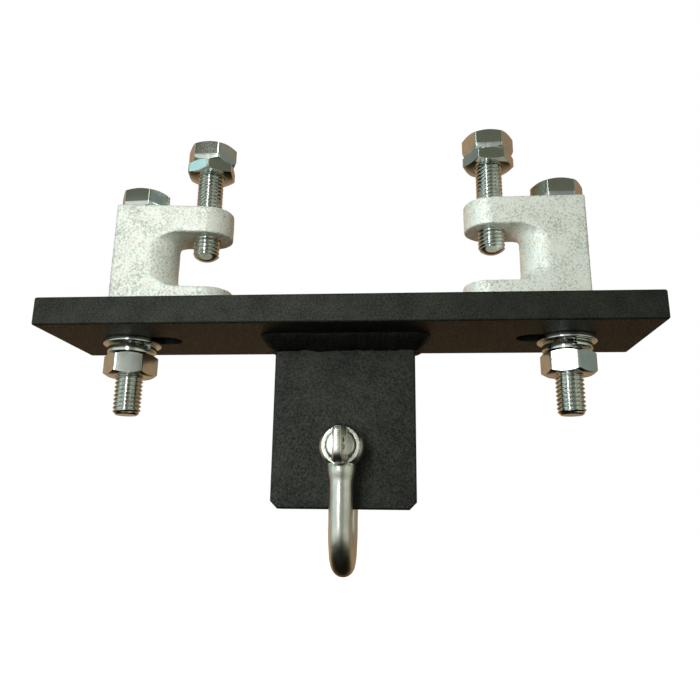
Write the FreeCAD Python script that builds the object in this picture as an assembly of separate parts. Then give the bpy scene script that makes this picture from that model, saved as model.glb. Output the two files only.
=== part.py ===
"""Twin-jaw beam clamp: a flat spreader plate carries two cast girder clamps that grip the
edges of a beam's lower flange, and a welded lug underneath carries a D shackle.

Frame: +X along the plate, +Y towards the back, +Z up.  The origin lies on the middle plane of
the plate and its lug, where the underside of the beam's flange bears on the lower jaws.
All lengths are millimetres.
"""
import FreeCAD, Part
import math
import os

V = FreeCAD.Vector
X_AXIS, Y_AXIS, Z_AXIS = V(1, 0, 0), V(0, 1, 0), V(0, 0, 1)
SIDES = {"left": -1, "right": 1}

# Fastener sizes, M10 coarse with 17 mm hexagons
SCREW_RADIUS = 4.95
NUT_BORE_RADIUS = 5.0
HEX_ACROSS_FLATS = 17.0
HEX_CHAMFER_ANGLE = 30.0
HEX_FACE_CIRCLE_RATIO = 0.95
HEAD_HEIGHT = 7.6
FULL_NUT_HEIGHT = 8.0
LOCK_NUT_HEIGHT = 5.0
SCREW_END_CHAMFER = 1.2
WASHER_RADIUS, WASHER_BORE_RADIUS, WASHER_THICKNESS = 10.5, 5.5, 2.0
SPRING_WASHER_RADIUS, SPRING_WASHER_BORE_RADIUS = 8.8, 5.3
SPRING_WASHER_HEIGHT, SPRING_WASHER_GAP = 3.6, 1.6
SPRING_WASHER_GAP_TURN = {"left": -28.0, "right": 95.0}

# Clamp castings; u runs from the fixing bolt's axis inwards, towards the other clamp
CASTING_WIDTH = 20.0
CASTING_HEIGHT = 41.2
CASTING_BACK_U = -8.0
LOWER_JAW_THICKNESS = 9.0
UPPER_ARM_THICKNESS = 10.7
SET_SCREW_U = 25.0
UPPER_NOSE_U = 35.0
LOWER_NOSE_U = 36.0
NECK_NOSE_U = 14.8
THROAT_FILLET = 5.0
CASTING_EDGE_RADIUS = 0.8
BOLT_HOLE_RADIUS = 5.5
TAPPED_HOLE_RADIUS = 5.0
CASTING_YAW_DEG = {"left": 6.0, "right": 0.0}

# Plate, its two slots and the fixing bolts in them
PLATE_LENGTH, PLATE_WIDTH, PLATE_THICKNESS = 214.0, 50.0, 10.0
PLATE_EDGE_RADIUS, PLATE_CORNER_RADIUS = 0.8, 1.0
SLOT_WIDTH = 11.0
SLOT_INNER_X, SLOT_OUTER_X = 61.3, 87.7
BOLT_X = {"left": 80.0, "right": 79.0}
FIXING_BOLT_LENGTH = 78.9

# Set screws, jammed with their lock nuts under the heads
SET_SCREW_LENGTH = 40.0
SET_SCREW_TIP_Z = 13.0
SET_SCREW_DOME_HEIGHT = 2.2

# Turn of each hexagon about its own axis, from a corner that points to the front
HEX_TURN_DEG = {
    "left_fixing_bolt": 27.0, "right_fixing_bolt": -29.5,
    "left_set_screw": 29.0, "right_set_screw": 27.5,
    "left_lock_nut": 5.0, "right_lock_nut": -27.0,
    "left_fixing_nut": -16.0, "right_fixing_nut": 10.5,
}

# Hanging lug and the weld that joins it to the plate
LUG_WIDTH, LUG_THICKNESS, LUG_HEIGHT = 50.0, 10.0, 60.0
LUG_CORNER_CHAMFER, LUG_EDGE_RADIUS = 2.5, 0.8
LUG_HOLE_RADIUS, LUG_HOLE_DROP = 5.0, 39.7
WELD_LEG, WELD_TOE = 6.0, 0.4

# D shackle, 8 mm bar
BAR_RADIUS = 4.0
SHACKLE_GAP = 16.0
PIN_TO_CROWN = 42.3
EYE_RADIUS, EYE_EDGE_RADIUS = 7.5, 1.6
PIN_RADIUS, EYE_BORE_RADIUS = 3.95, 4.0
PIN_COLLAR_RADIUS, PIN_COLLAR_LENGTH = 4.8, 2.6
PIN_END_RECESS = 0.4
TAB_THICKNESS, TAB_WIDTH, TAB_LENGTH, TAB_HOLE_RADIUS = 3.0, 12.6, 9.5, 2.0
TAB_CORNER_RADIUS = 4.5
TAB_HOLE_REACH = 4.9

# Heights that follow from the sizes above
PLATE_TOP = -LOWER_JAW_THICKNESS
PLATE_BOTTOM = PLATE_TOP - PLATE_THICKNESS
CASTING_TOP = PLATE_TOP + CASTING_HEIGHT
ARM_BOTTOM = CASTING_TOP - UPPER_ARM_THICKNESS
PIN_Z = PLATE_BOTTOM - LUG_HOLE_DROP
NOSE_RADIUS = CASTING_WIDTH / 2


def vertical_cylinder(radius, bottom, top, x=0.0, y=0.0):
    """Solid cylinder on a vertical axis between two heights."""
    return Part.makeCylinder(radius, top - bottom, V(x, y, bottom), Z_AXIS)


def round_nosed_slab(back_u, nose_u, bottom, top):
    """Slab as wide as the casting, flat at the back and a full half round at the nose."""
    centre_u = nose_u - NOSE_RADIUS
    slab = Part.makeBox(centre_u - back_u, CASTING_WIDTH, top - bottom, V(back_u, -NOSE_RADIUS, bottom))
    return slab.fuse(vertical_cylinder(NOSE_RADIUS, bottom, top, centre_u)).removeSplitter()


def throat_fillet_ring(height, direction):
    """Concave fillet between the round neck and an arm, as a ring swept about the neck's axis.

    It is the square between neck and arm less the fillet's circle, turned right round.
    """
    centre_u = NECK_NOSE_U - NOSE_RADIUS
    reach = NOSE_RADIUS + THROAT_FILLET
    far = height + direction * THROAT_FILLET
    low, high = min(height, far), max(height, far)
    square = vertical_cylinder(reach, low, high, centre_u)
    groove = Part.makeTorus(reach, THROAT_FILLET, V(centre_u, 0, far), Z_AXIS)
    return square.cut(groove)


def is_outline_edge(edge):
    """True for the outer edges that the foundry leaves rounded: round the top and up the back."""
    box = edge.BoundBox
    return box.ZMin > CASTING_TOP - 0.01 or (box.XMax < CASTING_BACK_U + 0.01 and box.ZLength > 1)


def clamp_casting():
    """C-shaped girder clamp with its bolt axis at the origin and its throat open towards +X."""
    lower_jaw = round_nosed_slab(CASTING_BACK_U, LOWER_NOSE_U, PLATE_TOP, 0.0)
    upper_arm = round_nosed_slab(CASTING_BACK_U, UPPER_NOSE_U, ARM_BOTTOM, CASTING_TOP)
    neck = round_nosed_slab(CASTING_BACK_U, NECK_NOSE_U, 0.0, ARM_BOTTOM)
    fillets = throat_fillet_ring(0.0, 1).fuse(throat_fillet_ring(ARM_BOTTOM, -1))
    envelope = Part.makeBox(UPPER_NOSE_U - CASTING_BACK_U, CASTING_WIDTH, CASTING_HEIGHT,
                            V(CASTING_BACK_U, -NOSE_RADIUS, PLATE_TOP))
    body = lower_jaw.fuse([upper_arm, neck, fillets.common(envelope)]).removeSplitter()
    body = body.makeFillet(CASTING_EDGE_RADIUS, [e for e in body.Edges if is_outline_edge(e)])
    bolt_hole = vertical_cylinder(BOLT_HOLE_RADIUS, PLATE_TOP - 1, CASTING_TOP + 1)
    tapped_hole = vertical_cylinder(TAPPED_HOLE_RADIUS, ARM_BOTTOM - 1, CASTING_TOP + 1, SET_SCREW_U)
    return body.cut(bolt_hole).cut(tapped_hole)


def hexagon_prism(bottom, top, turn_deg):
    """Hexagonal prism whose corners are turned off by a 30 degree cone at both ends."""
    corner_radius = HEX_ACROSS_FLATS / math.sqrt(3)
    angles = [math.radians(turn_deg - 90 + 60 * i) for i in range(7)]
    corners = [V(corner_radius * math.cos(a), corner_radius * math.sin(a), bottom) for a in angles]
    prism = Part.Face(Part.makePolygon(corners)).extrude(V(0, 0, top - bottom))
    face_radius = HEX_ACROSS_FLATS / 2 * HEX_FACE_CIRCLE_RATIO
    outer_radius = corner_radius + 1
    drop = (outer_radius - face_radius) * math.tan(math.radians(HEX_CHAMFER_ANGLE))
    profile = [V(0, 0, bottom), V(face_radius, 0, bottom), V(outer_radius, 0, bottom + drop),
               V(outer_radius, 0, top - drop), V(face_radius, 0, top), V(0, 0, top), V(0, 0, bottom)]
    turned = Part.Face(Part.makePolygon(profile)).revolve(V(0, 0, 0), Z_AXIS, 360)
    return prism.common(turned)


def hexagon_nut(bottom, height, turn_deg):
    """Nut chamfered on both faces, with a plain bore at the thread's major diameter."""
    blank = hexagon_prism(bottom, bottom + height, turn_deg)
    return blank.cut(vertical_cylinder(NUT_BORE_RADIUS, bottom - 1, bottom + height + 1))


def headed_screw(tip, head_bottom, turn_deg):
    """Hexagon-headed screw with a chamfered end."""
    shank = vertical_cylinder(SCREW_RADIUS, tip + SCREW_END_CHAMFER, head_bottom)
    end_radius = SCREW_RADIUS - SCREW_END_CHAMFER
    end = Part.makeCone(end_radius, SCREW_RADIUS, SCREW_END_CHAMFER, V(0, 0, tip), Z_AXIS)
    head = hexagon_prism(head_bottom, head_bottom + HEAD_HEIGHT, turn_deg)
    return shank.fuse([end, head]).removeSplitter()


def fixing_bolt(side):
    """Bolt that passes down through the casting and the plate's slot."""
    return headed_screw(CASTING_TOP - FIXING_BOLT_LENGTH, CASTING_TOP, HEX_TURN_DEG[side + "_fixing_bolt"])


def set_screw(side):
    """Flange-gripping screw with a domed point, head uppermost."""
    head_bottom = SET_SCREW_TIP_Z + SET_SCREW_LENGTH
    dome_radius = (SCREW_RADIUS**2 + SET_SCREW_DOME_HEIGHT**2) / (2 * SET_SCREW_DOME_HEIGHT)
    dome = Part.makeSphere(dome_radius, V(0, 0, SET_SCREW_TIP_Z + dome_radius))
    shank = vertical_cylinder(SCREW_RADIUS, SET_SCREW_TIP_Z, head_bottom).common(
        dome.fuse(vertical_cylinder(SCREW_RADIUS + 1, SET_SCREW_TIP_Z + dome_radius, head_bottom)))
    head = hexagon_prism(head_bottom, head_bottom + HEAD_HEIGHT, HEX_TURN_DEG[side + "_set_screw"])
    return shank.fuse(head).removeSplitter()


def lock_nut(side):
    """Thin nut run up under the set screw's head."""
    top = SET_SCREW_TIP_Z + SET_SCREW_LENGTH
    return hexagon_nut(top - LOCK_NUT_HEIGHT, LOCK_NUT_HEIGHT, HEX_TURN_DEG[side + "_lock_nut"])


def flat_washer():
    """Plain washer against the plate's underside."""
    top, bottom = PLATE_BOTTOM, PLATE_BOTTOM - WASHER_THICKNESS
    bore = vertical_cylinder(WASHER_BORE_RADIUS, bottom - 1, top + 1)
    return vertical_cylinder(WASHER_RADIUS, bottom, top).cut(bore)


def spring_washer(side):
    """Split spring washer, as tall as its open coil stands under the nut's light load."""
    top = PLATE_BOTTOM - WASHER_THICKNESS
    bottom = top - SPRING_WASHER_HEIGHT
    ring = vertical_cylinder(SPRING_WASHER_RADIUS, bottom, top)
    ring = ring.cut(vertical_cylinder(SPRING_WASHER_BORE_RADIUS, bottom - 1, top + 1))
    gap = Part.makeBox(SPRING_WASHER_RADIUS + 1, SPRING_WASHER_GAP, SPRING_WASHER_HEIGHT + 2,
                       V(0, -SPRING_WASHER_GAP / 2, bottom - 1))
    gap.rotate(V(0, 0, 0), Z_AXIS, SPRING_WASHER_GAP_TURN[side])
    return ring.cut(gap)


def fixing_nut(side):
    """Full nut that pulls the casting down on to the plate."""
    top = PLATE_BOTTOM - WASHER_THICKNESS - SPRING_WASHER_HEIGHT
    return hexagon_nut(top - FULL_NUT_HEIGHT, FULL_NUT_HEIGHT, HEX_TURN_DEG[side + "_fixing_nut"])


def slot_cutter(side_sign):
    """Round-ended lengthwise slot through the plate."""
    radius = SLOT_WIDTH / 2
    near, far = SLOT_INNER_X + radius, SLOT_OUTER_X - radius
    bottom, top = PLATE_BOTTOM - 1, PLATE_TOP + 1
    left_end = min(side_sign * near, side_sign * far)
    middle = Part.makeBox(far - near, SLOT_WIDTH, top - bottom, V(left_end, -radius, bottom))
    ends = [vertical_cylinder(radius, bottom, top, side_sign * x) for x in (near, far)]
    return middle.fuse(ends)


def spreader_plate():
    """Flat bar with rolled edges, sawn and dressed corners, and two slots."""
    plate = Part.makeBox(PLATE_LENGTH, PLATE_WIDTH, PLATE_THICKNESS,
                         V(-PLATE_LENGTH / 2, -PLATE_WIDTH / 2, PLATE_BOTTOM))
    upright = [e for e in plate.Edges if e.BoundBox.ZLength > PLATE_THICKNESS / 2]
    plate = plate.makeFillet(PLATE_CORNER_RADIUS, upright)
    rims = [e for e in plate.Edges if e.BoundBox.ZLength < 0.01]
    plate = plate.makeFillet(PLATE_EDGE_RADIUS, rims)
    for sign in SIDES.values():
        plate = plate.cut(slot_cutter(sign))
    return plate


def hanging_lug():
    """Upright flat bar under the plate, with chamfered lower corners and the shackle's hole."""
    half, depth = LUG_WIDTH / 2, LUG_THICKNESS / 2
    bottom, cut = PLATE_BOTTOM - LUG_HEIGHT, LUG_CORNER_CHAMFER
    points = [(-half, PLATE_BOTTOM), (half, PLATE_BOTTOM), (half, bottom + cut), (half - cut, bottom),
              (cut - half, bottom), (-half, bottom + cut), (-half, PLATE_BOTTOM)]
    face = Part.Face(Part.makePolygon([V(x, -depth, z) for x, z in points]))
    lug = face.extrude(V(0, LUG_THICKNESS, 0))
    rims = [e for e in lug.Edges if e.BoundBox.YLength < 0.01 and e.BoundBox.ZMin < PLATE_BOTTOM - 0.01]
    lug = lug.makeFillet(LUG_EDGE_RADIUS, rims)
    hole = Part.makeCylinder(LUG_HOLE_RADIUS, LUG_THICKNESS + 2, V(0, -depth - 1, PIN_Z), Y_AXIS)
    return lug.cut(hole)


def rounded_rectangle(length, width, radius, height):
    """Closed wire: a rectangle with rounded corners at a given height, centred on the Z axis."""
    box = Part.makeBox(length, width, 1, V(-length / 2, -width / 2, height))
    box = box.makeFillet(radius, [e for e in box.Edges if e.BoundBox.ZLength > 0.5])
    faces = [f for f in box.Faces if abs(f.BoundBox.ZMax - height) < 0.01]
    return faces[0].OuterWire


def weld_bead(front):
    """Half of the fillet weld that runs round the lug's top, leg by leg, split at mid thickness."""
    sections = [(WELD_TOE, PLATE_BOTTOM - WELD_LEG), (WELD_LEG, PLATE_BOTTOM)]
    wires = [rounded_rectangle(LUG_WIDTH + 2 * out, LUG_THICKNESS + 2 * out, out, z) for out, z in sections]
    ring = Part.makeLoft(wires, True, True)
    lug_core = Part.makeBox(LUG_WIDTH, LUG_THICKNESS, WELD_LEG + 2,
                            V(-LUG_WIDTH / 2, -LUG_THICKNESS / 2, PLATE_BOTTOM - WELD_LEG - 1))
    depth = LUG_THICKNESS + 2 * WELD_LEG
    half_space = Part.makeBox(2 * LUG_WIDTH, depth, 3 * WELD_LEG,
                              V(-LUG_WIDTH, -depth if front else 0.0, PLATE_BOTTOM - 2 * WELD_LEG))
    return ring.cut(lug_core).common(half_space)


def shackle_bow():
    """D-shaped bow of round bar, hanging from its two eyes."""
    leg_y = SHACKLE_GAP / 2 + BAR_RADIUS
    bend_z = PIN_Z - (PIN_TO_CROWN - BAR_RADIUS) + leg_y
    bend = Part.makeTorus(leg_y, BAR_RADIUS, V(0, 0, bend_z), X_AXIS)
    reach = 2 * leg_y
    lower_half = Part.makeBox(2 * reach, 2 * reach, reach, V(-reach, -reach, bend_z - reach))
    pieces = [bend.common(lower_half)]
    for sign in SIDES.values():
        pieces.append(vertical_cylinder(BAR_RADIUS, bend_z, PIN_Z, 0, sign * leg_y))
        eye = Part.makeCylinder(EYE_RADIUS, 2 * BAR_RADIUS, V(0, sign * leg_y - BAR_RADIUS, PIN_Z), Y_AXIS)
        pieces.append(eye.makeFillet(EYE_EDGE_RADIUS, [e for e in eye.Edges if e.BoundBox.YLength < 0.01]))
    bow = pieces[0].fuse(pieces[1:]).removeSplitter()
    span = SHACKLE_GAP + 4 * BAR_RADIUS + 2
    return bow.cut(Part.makeCylinder(EYE_BORE_RADIUS, span, V(0, -span / 2, PIN_Z), Y_AXIS))


def shackle_pin():
    """Screw pin with a round collar and a flat thumb tab that stands upright at the front."""
    outer_y = SHACKLE_GAP / 2 + 2 * BAR_RADIUS
    shank = Part.makeCylinder(PIN_RADIUS, 2 * outer_y - PIN_END_RECESS, V(0, -outer_y, PIN_Z), Y_AXIS)
    collar_front = -outer_y - PIN_COLLAR_LENGTH
    collar = Part.makeCylinder(PIN_COLLAR_RADIUS, PIN_COLLAR_LENGTH, V(0, collar_front, PIN_Z), Y_AXIS)
    tab = Part.makeBox(TAB_THICKNESS, TAB_LENGTH, TAB_WIDTH,
                       V(-TAB_THICKNESS / 2, collar_front - TAB_LENGTH, PIN_Z - TAB_WIDTH / 2))
    corners = [e for e in tab.Edges if e.BoundBox.XLength > TAB_THICKNESS / 2
               and e.BoundBox.YMax < collar_front - TAB_LENGTH / 2]
    tab = tab.makeFillet(TAB_CORNER_RADIUS, corners)
    hole_start = V(-TAB_THICKNESS, collar_front - TAB_HOLE_REACH, PIN_Z)
    tab = tab.cut(Part.makeCylinder(TAB_HOLE_RADIUS, 2 * TAB_THICKNESS, hole_start, X_AXIS))
    return shank.fuse([collar, tab]).removeSplitter()


def placed(shape, x, turn_deg=0.0):
    """Copy of a shape turned about the vertical axis and then moved along X."""
    copy = shape.copy()
    copy.rotate(V(0, 0, 0), Z_AXIS, turn_deg)
    copy.translate(V(x, 0, 0))
    return copy


def clamp_parts(side):
    """All pieces of one clamp, standing at their own slot."""
    sign = SIDES[side]
    bolt_x = sign * BOLT_X[side]
    inward_deg = 0.0 if sign < 0 else 180.0
    turn = inward_deg - sign * CASTING_YAW_DEG[side]
    screw_x = bolt_x + SET_SCREW_U * math.cos(math.radians(turn))
    screw_y = SET_SCREW_U * math.sin(math.radians(turn))
    parts = {
        "clamp_casting": placed(clamp_casting(), bolt_x, turn),
        "fixing_bolt": placed(fixing_bolt(side), bolt_x),
        "flat_washer": placed(flat_washer(), bolt_x),
        "spring_washer": placed(spring_washer(side), bolt_x, inward_deg),
        "fixing_nut": placed(fixing_nut(side), bolt_x),
        "set_screw": placed(set_screw(side), screw_x),
        "lock_nut": placed(lock_nut(side), screw_x),
    }
    for name in ("set_screw", "lock_nut"):
        parts[name].translate(V(0, screw_y, 0))
    return {side + "_" + name: shape for name, shape in parts.items()}


def build():
    """Every node of the assembly, by name."""
    nodes = {
        "spreader_plate": spreader_plate(),
        "hanging_lug": hanging_lug(),
        "front_weld_bead": weld_bead(True),
        "back_weld_bead": weld_bead(False),
        "shackle_bow": shackle_bow(),
        "shackle_pin": shackle_pin(),
    }
    for side in SIDES:
        nodes.update(clamp_parts(side))
    return nodes


os.makedirs("parts", exist_ok=True)
for node_name, node_shape in build().items():
    node_shape.exportStep("parts/" + node_name + ".step")
    print(node_name, len(node_shape.Solids), node_shape.isValid(), round(node_shape.Volume, 1))
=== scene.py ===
"""Looks of a twin-jaw beam clamp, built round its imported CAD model.

The plate and its lug keep their CAD shapes under a textured powder coat.  The cast clamps, the
threaded fasteners, washers, weld beads and the forged shackle are made here as fine surfaces in
the places that the CAD gives them.
"""

import math

import bpy
import numpy as np
from bpy.props import FloatProperty, FloatVectorProperty, IntProperty, PointerProperty
from mathutils import Matrix, Vector


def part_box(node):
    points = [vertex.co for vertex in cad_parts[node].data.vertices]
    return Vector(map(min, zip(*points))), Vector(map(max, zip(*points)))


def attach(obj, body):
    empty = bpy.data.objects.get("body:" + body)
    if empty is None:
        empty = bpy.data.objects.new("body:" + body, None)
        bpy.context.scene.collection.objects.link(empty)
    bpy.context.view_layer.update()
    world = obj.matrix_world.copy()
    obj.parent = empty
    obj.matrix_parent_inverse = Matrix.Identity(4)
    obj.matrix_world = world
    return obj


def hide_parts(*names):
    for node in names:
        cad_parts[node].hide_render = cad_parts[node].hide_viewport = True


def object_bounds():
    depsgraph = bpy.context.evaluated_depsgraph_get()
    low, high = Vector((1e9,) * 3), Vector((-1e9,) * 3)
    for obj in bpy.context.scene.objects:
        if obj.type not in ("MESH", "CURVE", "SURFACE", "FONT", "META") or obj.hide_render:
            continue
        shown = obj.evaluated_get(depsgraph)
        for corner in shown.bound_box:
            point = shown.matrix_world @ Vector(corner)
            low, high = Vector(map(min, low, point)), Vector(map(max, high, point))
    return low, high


bl_info = {
    "name": "Beam clamp",
    "version": (1, 0, 0),
    "blender": (4, 5, 0),
    "location": "View3D > Sidebar > Beam clamp",
    "description": "Builds the visible pieces of a twin-jaw beam clamp round its CAD frame",
    "category": "Add Mesh",
}

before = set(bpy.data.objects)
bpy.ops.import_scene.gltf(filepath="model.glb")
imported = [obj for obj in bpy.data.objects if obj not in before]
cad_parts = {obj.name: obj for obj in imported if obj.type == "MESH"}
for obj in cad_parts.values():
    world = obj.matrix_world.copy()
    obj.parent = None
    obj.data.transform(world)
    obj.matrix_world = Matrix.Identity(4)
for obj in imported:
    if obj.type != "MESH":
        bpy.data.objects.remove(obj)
CAD_BOX = [list(corner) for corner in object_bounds()]
MM = 0.001
SIDES = ("left", "right")
AROUND = 96
SCREW_CREST = 4.95 * MM
FACE_CIRCLE_RATIO = 0.95
HEAD_FOOT_BAND = 2.0 * MM
SHACKLE_BAR = 4.0 * MM
PIN_COLLAR_LENGTH = 2.6 * MM


# ---------------------------------------------------------------- sizes read from the CAD frame


def node_points(node):
    """Vertex positions of a CAD node as an array of rows (x, y, z), in metres."""
    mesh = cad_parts[node].data
    flat = np.empty(3 * len(mesh.vertices), np.float32)
    mesh.vertices.foreach_get("co", flat)
    return flat.reshape(-1, 3).astype(float)


def node_axis(node):
    """Middle of a node's box in X and Y: the upright axis of a bolt, nut or washer."""
    low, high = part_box(node)
    return np.array([(low.x + high.x) / 2, (low.y + high.y) / 2])


def corner_turn(node):
    """Angle about the node's upright axis of the vertex that lies farthest from it."""
    offset = node_points(node)[:, :2] - node_axis(node)
    farthest = offset[np.argmax(np.hypot(offset[:, 0], offset[:, 1]))]
    return math.atan2(farthest[1], farthest[0])


# ---------------------------------------------------------------- settings shown in the sidebar


class BeamClampStage(bpy.types.PropertyGroup):
    camera_place: FloatVectorProperty(
        name="Camera place", description="Where the camera stands", subtype="XYZ", unit="LENGTH",
        default=(0.0227, -0.2564, -0.0818))
    camera_turn: FloatProperty(
        name="Camera turn", description="Turn to the left of the plate's square-on view",
        subtype="ANGLE", default=math.radians(4.65))
    camera_rise: FloatProperty(
        name="Camera rise", description="How far the camera looks up", subtype="ANGLE",
        default=math.radians(15.72))
    camera_roll: FloatProperty(
        name="Camera roll", description="Lean of the camera", subtype="ANGLE",
        default=math.radians(-0.65))
    lens: FloatProperty(
        name="Lens", description="Focal length on a 36 mm sensor", default=37.25, unit="CAMERA")
    shift: FloatVectorProperty(
        name="Shift", description="Sideways and upward shift of the lens, in image widths", size=2,
        default=(-0.0021, -0.0513))
    floor_drop: FloatProperty(
        name="Floor drop", description="Height from the floor to the hanging shackle",
        default=0.06, unit="LENGTH")
    key_power: FloatProperty(
        name="Key power", description="Watts of the tall soft box on the left, on matt surfaces",
        default=1.08)
    gleam_power: FloatProperty(
        name="Gleam power", description="Watts of the same soft box in glossy reflections",
        default=0.25)
    fill_power: FloatProperty(
        name="Fill power", description="Watts of the large soft box behind, on matt surfaces",
        default=2.6)
    wall_colour: FloatVectorProperty(
        name="Wall", description="Wooden wall behind, seen only in reflections", subtype="COLOR",
        default=(0.40, 0.27, 0.165))
    room_colour: FloatVectorProperty(
        name="Room", description="Dim room in front, seen only in reflections", subtype="COLOR",
        default=(0.125, 0.135, 0.10))
    window_colour: FloatVectorProperty(
        name="Window", description="Low bright windows in front, seen only in reflections",
        subtype="COLOR", default=(0.80, 0.84, 0.80))


class BeamClampFinish(bpy.types.PropertyGroup):
    coat_dark: FloatVectorProperty(
        name="Coat, hollows", description="Powder coat colour in its hollows", subtype="COLOR",
        default=(0.0030, 0.0038, 0.0026))
    coat_light: FloatVectorProperty(
        name="Coat, peaks", description="Powder coat colour on its peaks", subtype="COLOR",
        default=(0.0245, 0.0275, 0.0205))
    coat_grain: FloatProperty(
        name="Coat grain", description="Size of the powder coat's texture", default=0.00058,
        unit="LENGTH")
    casting_dark: FloatVectorProperty(
        name="Casting, hollows", description="Zinc on the casting's hollows", subtype="COLOR",
        default=(0.46, 0.52, 0.47))
    casting_light: FloatVectorProperty(
        name="Casting, peaks", description="Zinc on the casting's peaks", subtype="COLOR",
        default=(0.86, 0.91, 0.86))
    casting_grain: FloatProperty(
        name="Casting grain", description="Size of the casting's pebbles", default=0.00078,
        unit="LENGTH")
    fastener: FloatVectorProperty(
        name="Fasteners", description="Zinc plate on bolts, nuts and washers", subtype="COLOR",
        default=(0.78, 0.82, 0.78))
    shackle: FloatVectorProperty(
        name="Shackle", description="Bright zinc on the shackle and its pin", subtype="COLOR",
        default=(0.86, 0.88, 0.82))


class BeamClampShapes(bpy.types.PropertyGroup):
    thread_pitch: FloatProperty(
        name="Thread pitch", description="Pitch of the 10 mm screws", default=0.0015, unit="LENGTH")
    thread_depth: FloatProperty(
        name="Thread depth", description="Crest to root on the 10 mm screws", default=0.00064,
        unit="LENGTH")
    rows_per_pitch: IntProperty(
        name="Rows per pitch", description="Rows of faces along one thread pitch", default=14)
    bolt_thread_length: FloatProperty(
        name="Bolt thread", description="Threaded length of a fixing bolt", default=0.0300,
        unit="LENGTH")
    corner_sharpness: FloatProperty(
        name="Corner sharpness", description="Power of the hexagon's formula; higher is sharper",
        default=90.0)
    pebble_height: FloatProperty(
        name="Pebble height", description="Relief of the cast surface", default=0.00007,
        unit="LENGTH")
    casting_voxel: FloatProperty(
        name="Casting voxel", description="Cell size of the casting's surface", default=0.00042,
        unit="LENGTH")
    weld_ripple: FloatProperty(
        name="Weld ripple", description="Distance from one weld ripple to the next",
        default=0.0021, unit="LENGTH")
    weld_relief: FloatProperty(
        name="Weld relief", description="Height of the weld's ripples", default=0.00008,
        unit="LENGTH")


def stage_settings():
    return bpy.context.scene.beam_clamp_stage


def finish_settings():
    return bpy.context.scene.beam_clamp_finish


def shape_settings():
    return bpy.context.scene.beam_clamp_shapes


# ---------------------------------------------------------------- surfaces from arrays


def grid_quads(rows, columns, wrap_rows=False, wrap_columns=True):
    """Faces of a grid whose vertices are numbered row by row.

    Each face joins (r, c), (r, c+1), (r+1, c+1) and (r+1, c), with the last row or column joined
    to the first where it wraps.
    """
    r = np.arange(rows if wrap_rows else rows - 1)[:, None]
    c = np.arange(columns if wrap_columns else columns - 1)[None, :]
    next_r, next_c = (r + 1) % rows, (c + 1) % columns
    corners = [r * columns + c, r * columns + next_c, next_r * columns + next_c, next_r * columns + c]
    return np.stack(np.broadcast_arrays(*corners), -1).reshape(-1, 4)


def closed_grid(points):
    """Grid of points (rows, columns, 3), closed round its columns and capped by a pole at each end.

    Each pole is the mean of its end row, and a fan of triangles joins it to that row.
    """
    rows, columns = points.shape[:2]
    vertices = np.concatenate([points.reshape(-1, 3), points[0].mean(0)[None], points[-1].mean(0)[None]])
    c = np.arange(columns)
    next_c = (c + 1) % columns
    first, last = rows * columns, rows * columns + 1
    start = np.stack([np.full(columns, first), next_c, c], -1)
    top = (rows - 1) * columns
    end = np.stack([np.full(columns, last), top + c, top + next_c], -1)
    return vertices, [grid_quads(rows, columns), start, end]


def ring_grid(points):
    """Grid of points (rows, columns, 3) that closes on itself both ways, like a ring's skin."""
    rows, columns = points.shape[:2]
    return points.reshape(-1, 3), [grid_quads(rows, columns, wrap_rows=True)]


def make_piece(name, shells, body, replaced, material, sharp_angle=32.0):
    """One visible piece from a list of (vertices, face arrays), riding on a body of the frame."""
    vertices = np.concatenate([points for points, _ in shells])
    faces, start = [], 0
    for points, groups in shells:
        for group in groups:
            faces += (group + start).tolist()
        start += len(points)
    mesh = bpy.data.meshes.new(name)
    mesh.from_pydata(vertices.tolist(), [], faces)
    piece = bpy.data.objects.new(name, mesh)
    bpy.context.scene.collection.objects.link(piece)
    return finish_piece(piece, body, replaced, material, sharp_angle)


def finish_piece(piece, body, replaced, material, sharp_angle=32.0):
    """Smooth shading, material, body and stood-for nodes of a piece already in place."""
    mesh = piece.data
    mesh.validate()
    mesh.shade_smooth()
    mesh.set_sharp_from_angle(angle=math.radians(sharp_angle))
    mesh.materials.clear()
    mesh.materials.append(material)
    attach(piece, body)
    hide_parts(*replaced)
    return piece


def angles(count=AROUND):
    """Even angles once round, without the last that repeats the first."""
    return np.arange(count) * (2 * math.pi / count)


def turned(radii, heights, theta, axis=(0.0, 0.0)):
    """Surface of rows at given radii and heights about an upright axis.

    A point is (axis x + r cos t, axis y + r sin t, z), where r and z may vary with t.
    """
    shape = (len(radii), len(theta))
    r = np.array([np.broadcast_to(row, len(theta)) for row in radii])
    z = np.array([np.broadcast_to(row, len(theta)) for row in heights])
    points = np.empty(shape + (3,))
    points[..., 0] = axis[0] + r * np.cos(theta)
    points[..., 1] = axis[1] + r * np.sin(theta)
    points[..., 2] = z
    return points


def lattice_noise(points, size, seed):
    """Smooth noise from -1 to 1: random values on a cubic lattice, blended by 3t^2 - 2t^3."""
    table = np.random.default_rng(seed).uniform(-1, 1, 4096)
    cell = points / size
    base = np.floor(cell).astype(np.int64)
    t = cell - base
    t = t * t * (3 - 2 * t)
    total = np.zeros(len(points))
    for corner in range(8):
        step = np.array([corner & 1, corner >> 1 & 1, corner >> 2 & 1])
        near = base + step
        key = (near[:, 0] * 73856093 ^ near[:, 1] * 19349663 ^ near[:, 2] * 83492791) & 4095
        total += table[key] * np.prod(np.where(step, t, 1 - t), axis=1)
    return total


# ---------------------------------------------------------------- threads, hexagons and rings


def smooth_step(value, low, high):
    """0 below low, 1 above high, and 3t^2 - 2t^3 between."""
    t = np.clip((value - low) / (high - low), 0, 1)
    return t * t * (3 - 2 * t)


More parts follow.
